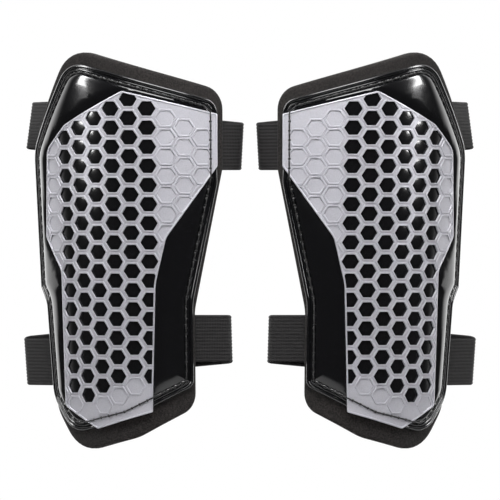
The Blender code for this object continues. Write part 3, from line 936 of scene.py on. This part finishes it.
def cell_tile(kind, sizes):
    """One cell of the plate's face, from its middle out to the middles of its webs.

    Each row is how far it lies outside the cell's opening, and its height.
    """
    crest = -CREST_DEPTH
    web = crest - sizes.rim_height
    floor = crest - sizes.recess_depth
    apothem = HEX_HEIGHT / 2
    grow = CLOSED_GROWTH if kind == "closed" else 0
    form = bmesh.new()
    turned = Matrix.Rotation(math.pi / 2, 4, "Z")
    stretch = HEX_HEIGHT / (HEX_WIDTH * math.cos(math.pi / 6))
    shape = Matrix.Diagonal((HEX_WIDTH / 2, HEX_WIDTH / 2 * stretch, 1, 1)) @ turned
    bmesh.ops.create_circle(form, cap_ends=True, segments=6, radius=1, matrix=shape)
    bmesh.ops.bevel(
        form,
        geom=form.verts[:],
        offset=CELL_CORNER,
        affect="VERTICES",
        segments=2,
        profile=0.5,
        material=-1,
    )
    face = form.faces[:][0]
    ring = [loop.vert for loop in face.loops]
    hexagon = [vertex.co.xy for vertex in ring]

    def at(offset):
        return [place * ((apothem + grow + offset) / apothem) for place in hexagon]

    rows = {
        "open": [(0, crest - LIP_DEPTH), (LIP_WIDTH, crest)],
        "closed": [(-FLOOR_RUN, floor), (-0.1 * MM, floor), (0.05 * MM, crest)],
        "plain": [(-FLOOR_RUN, web), (0.2 * MM, web)],
    }[kind]
    rim = crest if kind != "plain" else web
    rows += [(LIP_WIDTH + sizes.rim_width, rim), (RIM_FOOT + sizes.rim_width, web)]
    for vertex, place in zip(ring, at(rows[0][0])):
        vertex.co = (place.x, place.y, rows[0][1])
    outer = ring
    for offset, height in rows[1:]:
        outer = next_ring(form, outer, at(offset), height)
    outer = next_ring(form, outer, [web_corner(place) for place in hexagon], web)
    if kind == "open":
        bmesh.ops.delete(form, geom=[face], context="FACES_ONLY")
    else:
        bmesh.ops.poke(form, faces=[face])
    bmesh.ops.remove_doubles(form, verts=form.verts, dist=SAME_PLACE)
    return solid_mesh(form, f"{kind}_cell")


def intersection(context, mesh, tool_mesh):
    """The part of a mesh that lies inside another."""
    target = bpy.data.objects.new("target", mesh)
    tool = bpy.data.objects.new("tool", tool_mesh)
    for helper in (target, tool):
        context.scene.collection.objects.link(helper)
    modifier = target.modifiers.new("cut", "BOOLEAN")
    modifier.object = tool
    modifier.operation = "INTERSECT"
    result = bpy.data.meshes.new_from_object(target.evaluated_get(context.evaluated_depsgraph_get()))
    bpy.data.objects.remove(target)
    bpy.data.objects.remove(tool)
    return result


class SHINGUARDS_OT_honeycomb_plate(bpy.types.Operator):
    """Satin plates with open, rimmed cells and closed, embossed ones"""

    bl_idname = "shin_guards.honeycomb_plate"
    bl_label = "Honeycomb plates"

    def execute(self, context):
        sizes = context.scene.shin_guard_form
        tiles = {kind: cell_tile(kind, sizes) for kind in ("open", "closed", "plain")}
        form = bmesh.new()
        for column, centre in cell_places():
            count = len(form.verts)
            form.from_mesh(tiles[cell_kind(column, centre)])
            bmesh.ops.translate(form, verts=form.verts[count:], vec=(centre.x, centre.y, 0))
        bmesh.ops.remove_doubles(form, verts=form.verts, dist=0.01 * MM)
        made = bmesh.ops.extrude_face_region(form, geom=form.faces[:])["geom"]
        lower = [part for part in made if isinstance(part, bmesh.types.BMVert)]
        bmesh.ops.translate(form, verts=lower, vec=(0, 0, -PLATE_SHEET))
        bmesh.ops.recalc_face_normals(form, faces=form.faces)
        past = 3 * PLATE_THICKNESS
        limit = flat_solid(PLATE, [(PLATE_RIM / 2, -past), (PLATE_RIM / 2, past)], HEIGHT)
        mesh = intersection(context, solid_mesh(form, "cells"), solid_mesh(limit, "limit"))
        form = bmesh.new()
        form.from_mesh(mesh)
        add_rim(form)
        bend(form)
        mesh = to_mesh(form, "honeycomb_plate", PLATE_CREASE)
        finish = context.scene.shin_guard_finish
        add_pair(context, "cell_plate", mesh, satin_plate(finish), "honeycomb_plate", "guard")
        return {"FINISHED"}


def add_rim(form):
    """A rounded bead along the plate's edge, which also crosses the cells that the edge cuts."""
    made = len(form.faces)
    margin, height = EDGE_PROFILE[0]
    ring = first = start_ring(form, PLATE.at(margin), height)
    for margin, height in EDGE_PROFILE[1:]:
        ring = next_ring(form, ring, PLATE.at(margin), height)
    bmesh.ops.bridge_loops(form, edges=ring_edges(form, ring) + ring_edges(form, first))
    form.faces.ensure_lookup_table()
    bmesh.ops.recalc_face_normals(form, faces=form.faces[made:])


# ---------------------------------------------------------------- seam


STITCH_REACH = 0.48  # half a stitch's length, as a share of the distance between holes
BURIED = 0.4 * MM  # how far the thread sinks into the plate it sews down
STEP_RUN = (0.5 * MM, 4 * MM)  # where the thread's step down from the plate starts and ends


def seam_height(place, radius):
    """Height of the thread's middle: in the shell's groove, or on the plate where it crosses that."""
    in_groove = SHELL_FACE + 0.35 * radius
    on_plate = radius - BURIED
    if inside(place, PLATE_EDGE):
        return on_plate
    share = smooth_share(edge_distance(place, PLATE_EDGE), *STEP_RUN)
    return on_plate + (in_groove - on_plate) * share


def evenly(row, step):
    """Places along a closed row of points, the same distance apart."""
    ends = row[1:] + row[:1]
    lengths = [(b - a).length for a, b in zip(row, ends)]
    count = max(1, round(sum(lengths) / step))
    pitch = sum(lengths) / count
    places, walked, target = [], 0, 0
    for a, b, length in zip(row, ends, lengths):
        while target <= walked + length and len(places) < count:
            places.append(a.lerp(b, (target - walked) / length))
            target += pitch
        walked += length
    return places


def add_thread(form, start, end, outward, radius, bulge=1.0):
    """One stitch: a slim lozenge of thread between two points."""
    along = end - start
    across = along.cross(outward).normalized()
    up = across.cross(along).normalized()
    turn = Matrix((across, up, along.normalized())).transposed().to_4x4()
    size = Matrix.Diagonal((radius * bulge, radius, along.length / 2, 1))
    shape = Matrix.Translation((start + end) / 2) @ turn @ size
    bmesh.ops.create_uvsphere(form, u_segments=8, v_segments=6, radius=1, matrix=shape)


class SHINGUARDS_OT_seam(bpy.types.Operator):
    """Lockstitched seams with their needle holes"""

    bl_idname = "shin_guards.seam"
    bl_label = "Seams"

    def execute(self, context):
        sizes = context.scene.shin_guard_form
        radius = sizes.thread_radius
        holes = evenly(SEAM.at(), sizes.stitch_length)
        form = bmesh.new()
        for a, b in zip(holes, holes[1:] + holes[:1]):
            heights = [seam_height(place, radius) for place in (a, b)]
            start, end = wrap(*a, heights[0]), wrap(*b, heights[1])
            outward = wrap(*a, 1) - wrap(*a, 0)
            middle = (start + end) / 2
            reach = (end - start) * STITCH_REACH
            add_thread(form, middle - reach, middle + reach, outward, radius)
            hole = outward * (-0.7 * radius) + start
            across = (end - start).cross(outward).normalized() * (1.7 * radius)
            add_thread(form, hole - across, hole + across, outward, 1.4 * radius)
        mesh = to_mesh(form, "seam", BAND_CREASE)
        finish = context.scene.shin_guard_finish
        add_pair(context, "stitching", mesh, sewing_thread(finish), "seam_thread", "guard")
        return {"FINISHED"}


# ---------------------------------------------------------------- straps


class Strap:
    """One strap of the left guard, laid out by the rise above its middle line.

    From the pad's inner edge the strap runs out to a fold, straight across the back of the
    leg, and round a second fold to the pad's outer edge.
    """

    def __init__(self, inner_z, outer_z, inner_reach, outer_reach, lean):
        self.inner_z = inner_z
        self.outer_z = outer_z
        self.lean = lean
        self.start = self.sewn_inner(0)[-1] + Vector((inner_reach[0], inner_reach[1], 0))
        end = self.sewn_outer(0)[0] + Vector((-outer_reach[0], outer_reach[1], 0))
        up = Vector((0, 0, 1))
        run = end - (end - self.start).cross(up).normalized() * STACK - self.start
        self.length = run.length
        self.along = run.normalized()
        self.across = (up - self.along * self.along.z).normalized()
        self.back = self.along.cross(self.across)
        self.inner_turn = self.turn(self.inner_fold(0), self.behind(0, 0, 0))
        self.outer_turn = self.turn(self.outer_fold(0), self.behind(self.length, STACK, 0))

    def behind(self, reach, offset, rise):
        """The point `reach` along the back run and `offset` behind its front layer."""
        return self.start + self.along * reach + self.back * offset + self.across * rise

    def full_reach(self, rise):
        """How far the back run goes to the outer fold's corner."""
        return self.length - self.lean * rise

    def sewn(self, z, towards, lap):
        """Along the back of the pad at one edge, from past the edge to the sewn end or back."""
        edge = side_u(PAD_EDGE, z, towards)
        places = [edge + towards * (lap - (ANCHOR_LENGTH + lap) * i / 6) for i in range(7)]
        row = [wrap(u, z, STRAP_HEIGHT) for u in places]
        return row[::-1] if towards > 0 else row

    def sewn_inner(self, rise):
        return self.sewn(self.inner_z + rise, 1, EDGE_LAP)

    def sewn_outer(self, rise):
        return self.sewn(self.outer_z + rise, -1, EDGE_LAP)

    def inner_fold(self, rise):
        exit_point, corner = self.sewn_inner(rise)[-1], self.behind(0, 0, rise)
        return fillet(exit_point, corner, self.behind(self.length, 0, rise), FOLD_RADIUS, FOLD_SPANS)

    def outer_fold(self, rise):
        exit_point, corner = self.sewn_outer(rise)[0], self.behind(self.full_reach(rise), STACK, rise)
        return fillet(self.behind(0, STACK, rise), corner, exit_point, FOLD_RADIUS, FOLD_SPANS)

    def turn(self, fold, corner):
        """How far along the back run a fold and the straight lap after it reach."""
        return (fold[0] - corner).length + FOLD_LAP

    def inner_side(self, rise):
        """From the sewn end, out past the pad's inner edge and round the inner fold."""
        sewn, fold = self.sewn_inner(rise), self.inner_fold(rise)
        return sewn + between(sewn[-1], fold[0]) + fold + [self.behind(self.inner_turn, 0, rise)]

    def outer_side(self, rise):
        """Round the outer fold, and back past the pad's outer edge to the sewn end."""
        sewn, fold = self.sewn_outer(rise), self.outer_fold(rise)
        start = self.behind(self.full_reach(rise) - self.outer_turn, STACK, rise)
        return [start] + fold + between(fold[-1], sewn[0]) + sewn

    def run(self, reaches, offset, rise):
        """Evenly along the back run, from one reach to another."""
        count = round(self.length / BAND_SPAN)
        steps = [reaches[0] + (reaches[1] - reaches[0]) * i / count for i in range(count + 1)]
        return [self.behind(step, offset, rise) for step in steps]

    def inner_back(self, rise):
        """The short band behind the leg, which carries the loop patch."""
        return self.run((self.inner_turn, INNER_BACK_END), 0, rise)

    def outer_back(self, rise):
        """The long band behind the leg, which carries the hook patch."""
        return self.run((self.full_reach(rise) - self.outer_turn, OUTER_BACK_END), STACK, rise)

    def loop_patch(self, rise):
        return self.run(LOOP_PATCH, LOOP_OFFSET, rise)

    def hook_patch(self, rise):
        return self.run(HOOK_PATCH, HOOK_OFFSET, rise)


def between(start, end):
    """Seven places between two points, without the points themselves."""
    return [start.lerp(end, i / 8) for i in range(1, 8)]


def band(low, high, thickness, ribs, rib_depth):
    """A closed band between two rows of points, thinner between its lengthwise ribs."""
    columns = len(low) - 1
    rows = 4 * ribs if ribs else 16
    form = bmesh.new()
    bmesh.ops.create_grid(form, x_segments=columns, y_segments=rows, size=1)
    layer = form.loops.layers.uv.verify()
    made = bmesh.ops.extrude_face_region(form, geom=form.faces[:])["geom"]
    under = [part for part in made if isinstance(part, bmesh.types.BMVert)]
    bmesh.ops.translate(form, verts=under, vec=(0, 0, -1))
    middle = [(a + b) / 2 for a, b in zip(low, high)]
    reach = [0.0]
    for a, b in zip(middle, middle[1:]):
        reach.append(reach[-1] + (b - a).length)
    width = (high[0] - low[0]).length
    for face in form.faces:
        for loop in face.loops:
            station = round((loop.vert.co.x + 1) / 2 * columns)
            loop[layer].uv = (reach[station], loop.vert.co.y * width / 2)
    for vertex in form.verts:
        station = round((vertex.co.x + 1) / 2 * columns)
        share = (vertex.co.y + 1) / 2
        behind, ahead = middle[max(station - 1, 0)], middle[min(station + 1, columns)]
        outward = (ahead - behind).cross(high[station] - low[station]).normalized()
        from_edge = min(share, 1 - share) * width
        dip = rib_depth * (1 - abs(math.sin(math.pi * ribs * share))) if ribs else 0
        dip += 0.3 * thickness * (1 - smooth_share(from_edge, 0, 0.5 * MM))
        lift = (thickness / 2 - dip) * (1 if vertex.co.z > -0.5 else -1)
        vertex.co = low[station].lerp(high[station], share) + outward * lift
    bmesh.ops.recalc_face_normals(form, faces=form.faces)
    return form


class SHINGUARDS_OT_straps(bpy.types.Operator):
    """Ribbed elastic straps, each in a side band at either edge and two bands behind the leg"""

    bl_idname = "shin_guards.straps"
    bl_label = "Elastic straps"

    def execute(self, context):
        sizes = context.scene.shin_guard_form
        material = ribbed_elastic(context.scene.shin_guard_finish, STRAP_WIDTH / sizes.ribs)
        half = STRAP_WIDTH / 2
        for level, places in STRAPS.items():
            strap = Strap(*places)
            rear, flap = f"{level}_rear", f"{level}_flap"
            inner_stretch = (rear, strap.sewn_inner(0)[-1], strap.inner_fold(0)[0])
            outer_stretch = (rear, strap.sewn_outer(0)[0], strap.outer_fold(0)[-1])
            far = strap.length - strap.outer_turn
            peel = (flap, *(strap.behind(reach, STACK, 0) for reach in (far, far - 3 * FOLD_RADIUS)))
            bands = (
                ("inner_band", "inner_side", "strap_inner_side", "guard", inner_stretch),
                ("outer_band", "outer_side", "strap_outer_side", "guard", outer_stretch),
                ("short_back_band", "inner_back", "strap_inner_back", rear, None),
                ("long_back_band", "outer_back", "strap_outer_back", rear, peel),
            )
            for name, lay_out, node, body, bend_to in bands:
                low, high = (getattr(strap, lay_out)(rise) for rise in (-half, half))
                form = band(low, high, STRAP_THICKNESS, sizes.ribs, sizes.rib_depth)
                mesh = to_mesh(form, f"{level}_{name}", BAND_CREASE)
                node = f"{level}_{node}"
                add_pair(context, f"{level}_{name}", mesh, material, node, body, bend_to)
        return {"FINISHED"}


class SHINGUARDS_OT_closures(bpy.types.Operator):
    """Hook and loop patches on the back bands"""

    bl_idname = "shin_guards.closures"
    bl_label = "Hook and loop patches"

    def execute(self, context):
        finish = context.scene.shin_guard_finish
        half = STRAP_WIDTH / 2 - PATCH_MARGIN
        patches = (
            ("loop", "loop_patch", "rear", loop_tape(finish)),
            ("hook", "hook_patch", "flap", hook_tape(finish)),
        )
        for level, places in STRAPS.items():
            strap = Strap(*places)
            for slot, lay_out, body, material in patches:
                low, high = (getattr(strap, lay_out)(rise) for rise in (-half, half))
                form = band(low, high, PATCH_THICKNESS, 0, 0)
                mesh = to_mesh(form, f"{level}_{slot}", BAND_CREASE)
                node = f"{level}_{lay_out}"
                add_pair(context, f"{level}_{slot}_tape", mesh, material, node, f"{level}_{body}")
        return {"FINISHED"}


class SHINGUARDS_OT_bar_tacks(bpy.types.Operator):
    """Zigzag bar tacks that sew the straps to the pads"""

    bl_idname = "shin_guards.bar_tacks"
    bl_label = "Bar tacks"

    def execute(self, context):
        radius = context.scene.shin_guard_form.thread_radius
        material = sewing_thread(context.scene.shin_guard_finish)
        tack_height = LINING_FACE - STRAP_THICKNESS - 0.6 * radius
        half = STRAP_WIDTH / 2
        reach = half - TACK_MARGIN
        for level, (inner_z, outer_z, *_) in STRAPS.items():
            for name, middle_z, towards in (("inner", inner_z, 1), ("outer", outer_z, -1)):
                form = bmesh.new()
                edges = [tack_ends(middle_z + rise, towards, tack_height) for rise in (-half, half)]
                count = round(2 * reach / (1.5 * radius))
                for i in range(count):
                    rises = [reach * (2 * (i + step) / count - 1) for step in (0, 1)]
                    near, far = (rise / STRAP_WIDTH + 0.5 for rise in rises)
                    for row in (0, 1):
                        start = edges[0][row].lerp(edges[1][row], near)
                        end = edges[0][row + 1].lerp(edges[1][row + 1], far)
                        add_thread(form, start, end, Vector((0, 1, 0)), radius)
                mesh = to_mesh(form, f"{level}_{name}_bar", BAND_CREASE)
                node = f"{level}_{name}_tack"
                add_pair(context, f"{level}_{name}_stitches", mesh, material, node, "guard")
        return {"FINISHED"}


def tack_ends(z, towards, height):
    """Three points across a bar tack at one height."""
    middle = side_u(PAD_EDGE, z, towards) - towards * ANCHOR_LENGTH / 2
    return [wrap(middle + TACK_LENGTH * share, z, height) for share in (-0.5, 0, 0.5)]


# ---------------------------------------------------------------- stage

LENS = 600.0
VIEW_WIDTH = 0.2672
FLOOR_RADIUS = 0.45
FADE_START, FADE_END = 0.15, 0.44  # distances from the floor's middle
FLOOR_DROP = 0.06

# Surroundings: from a dark front to a bright back by the direction's Y, and how much brighter
# again they are in reflections
FRONT, BACK = -0.1, 0.45
DARK, BRIGHT = 0.03, 1.2
GLARE = 1.9

# Lights: place, size and power, and whether they light matt surfaces as well as glossy ones
SOFTBOXES = (
    ("left_strip", (-1.0, -0.46, 0.66), (0.2, 1.0), 20, False),
    ("right_strip", (1.0, -0.46, 0.66), (0.2, 1.0), 20, False),
    ("key_softbox", (0, -0.36, 0.42), (0.36, 0.3), 4.6, True),
    ("fill_softbox", (0, -1.6, 1.5), (0.9, 0.6), 5, True),
)


def add_softbox(context, name, place, size, power):
    """A rectangular light aimed at the guards."""
    data = bpy.data.lights.new(name, "AREA")
    data.shape = "RECTANGLE"
    data.size, data.size_y = size
    data.energy = power
    light = bpy.data.objects.new(name, data)
    light.location = place
    light.rotation_mode = "QUATERNION"
    light.rotation_quaternion = (-Vector(place)).to_track_quat("-Z", "Y")
    light.visible_camera = False
    context.scene.collection.objects.link(light)
    return light


class SHINGUARDS_OT_stage(bpy.types.Operator):
    """Camera, floor, lights and surroundings"""

    bl_idname = "shin_guards.stage"
    bl_label = "Studio"

    def execute(self, context):
        scene = context.scene
        scene.view_settings.view_transform = "Standard"
        camera_data = bpy.data.cameras.new("camera")
        camera_data.lens = LENS
        camera = bpy.data.objects.new("camera", camera_data)
        camera.location = (0, -VIEW_WIDTH * LENS / camera_data.sensor_width, 0)
        camera.rotation_euler = (math.pi / 2, 0, 0)
        camera_data.clip_end = 100
        scene.collection.objects.link(camera)
        scene.camera = camera

        disc = bmesh.new()
        bmesh.ops.create_circle(disc, cap_ends=True, segments=64, radius=FLOOR_RADIUS)
        bmesh.ops.translate(disc, verts=disc.verts, vec=(0, 0, CAD_BOX[0].z - FLOOR_DROP))
        floor = bpy.data.objects.new("floor", solid_mesh(disc, "floor"))
        floor.data.materials.append(self.floor_material())
        scene.collection.objects.link(floor)

        for name, place, size, power, on_matt in SOFTBOXES:
            light = add_softbox(context, name, place, size, power)
            light.visible_diffuse = on_matt
        self.surroundings(scene)
        return {"FINISHED"}

    def floor_material(self):
        """White paper that fades into the backdrop."""
        material, tree, shader = new_material("white_paper", linear("#f2f2f2"), 0.9)
        places = add_node(tree, "ShaderNodeTexCoord").outputs["Object"]
        flat = add_node(
            tree, "ShaderNodeVectorMath", [(0, places), (1, (1, 1, 0))], operation="MULTIPLY"
        )
        reach = add_node(tree, "ShaderNodeVectorMath", [(0, flat.outputs[0])], operation="LENGTH")
        fade = add_node(
            tree,
            "ShaderNodeMapRange",
            [("Value", reach.outputs["Value"]), (1, FADE_START), (2, FADE_END), (3, 1.0), (4, 0.0)],
            interpolation_type="SMOOTHSTEP",
        )
        tree.links.new(fade.outputs["Result"], shader.inputs["Alpha"])
        return material

    def surroundings(self, scene):
        """A white backdrop for the camera; reflections see a dark front and a bright back."""
        world = bpy.data.worlds.new("studio")
        world.use_nodes = True
        scene.world = world
        tree = world.node_tree
        backdrop = tree.nodes["Background"]
        backdrop.inputs["Color"].default_value = (1, 1, 1, 1)
        direction = add_node(tree, "ShaderNodeTexCoord").outputs["Generated"]
        parts = add_node(tree, "ShaderNodeSeparateXYZ", [("Vector", direction)])
        shade = add_node(
            tree,
            "ShaderNodeMapRange",
            [("Value", parts.outputs["Y"]), (1, FRONT), (2, BACK), (3, DARK), (4, BRIGHT)],
            interpolation_type="SMOOTHSTEP",
        )
        rays = add_node(tree, "ShaderNodeLightPath")
        glare = add_node(
            tree,
            "ShaderNodeMath",
            [(0, rays.outputs["Is Glossy Ray"]), (1, GLARE), (2, 1.0)],
            operation="MULTIPLY_ADD",
        )
        mirrored_light = add_node(
            tree,
            "ShaderNodeMath",
            [(0, shade.outputs["Result"]), (1, glare.outputs[0])],
            operation="MULTIPLY",
        )
        strength = add_node(
            tree,
            "ShaderNodeMix",
            [("Factor", rays.outputs["Is Camera Ray"]), ("A", mirrored_light.outputs[0]), ("B", 1.0)],
        )
        tree.links.new(strength.outputs["Result"], backdrop.inputs["Strength"])


# ---------------------------------------------------------------- panel and registration

STEPS = (
    "foam_pad",
    "moulded_shell",
    "honeycomb_plate",
    "seam",
    "knit_lining",
    "straps",
    "closures",
    "bar_tacks",
    "stage",
)


class SHINGUARDS_PT_panel(bpy.types.Panel):
    """Sizes, colours and steps of the shin guards"""

    bl_label = "Shin guards"
    bl_space_type = "VIEW_3D"
    bl_region_type = "UI"
    bl_category = "Shin guards"

    def draw(self, context):
        for settings in (context.scene.shin_guard_form, context.scene.shin_guard_finish):
            box = self.layout.box()
            for name in settings.__annotations__:
                box.prop(settings, name)
        for step in STEPS:
            self.layout.operator(f"shin_guards.{step}")


CLASSES = (
    ShinGuardForm,
    ShinGuardFinish,
    SHINGUARDS_OT_foam_pad,
    SHINGUARDS_OT_moulded_shell,
    SHINGUARDS_OT_honeycomb_plate,
    SHINGUARDS_OT_seam,
    SHINGUARDS_OT_knit_lining,
    SHINGUARDS_OT_straps,
    SHINGUARDS_OT_closures,
    SHINGUARDS_OT_bar_tacks,
    SHINGUARDS_OT_stage,
    SHINGUARDS_PT_panel,
)


def register():
    for cls in CLASSES:
        bpy.utils.register_class(cls)
    bpy.types.Scene.shin_guard_form = PointerProperty(type=ShinGuardForm)
    bpy.types.Scene.shin_guard_finish = PointerProperty(type=ShinGuardFinish)


def unregister():
    del bpy.types.Scene.shin_guard_finish
    del bpy.types.Scene.shin_guard_form
    for cls in reversed(CLASSES):
        bpy.utils.unregister_class(cls)


def main():
    register()
    for step in STEPS:
        getattr(bpy.ops.shin_guards, step)()


if __name__ == "__main__":
    main()
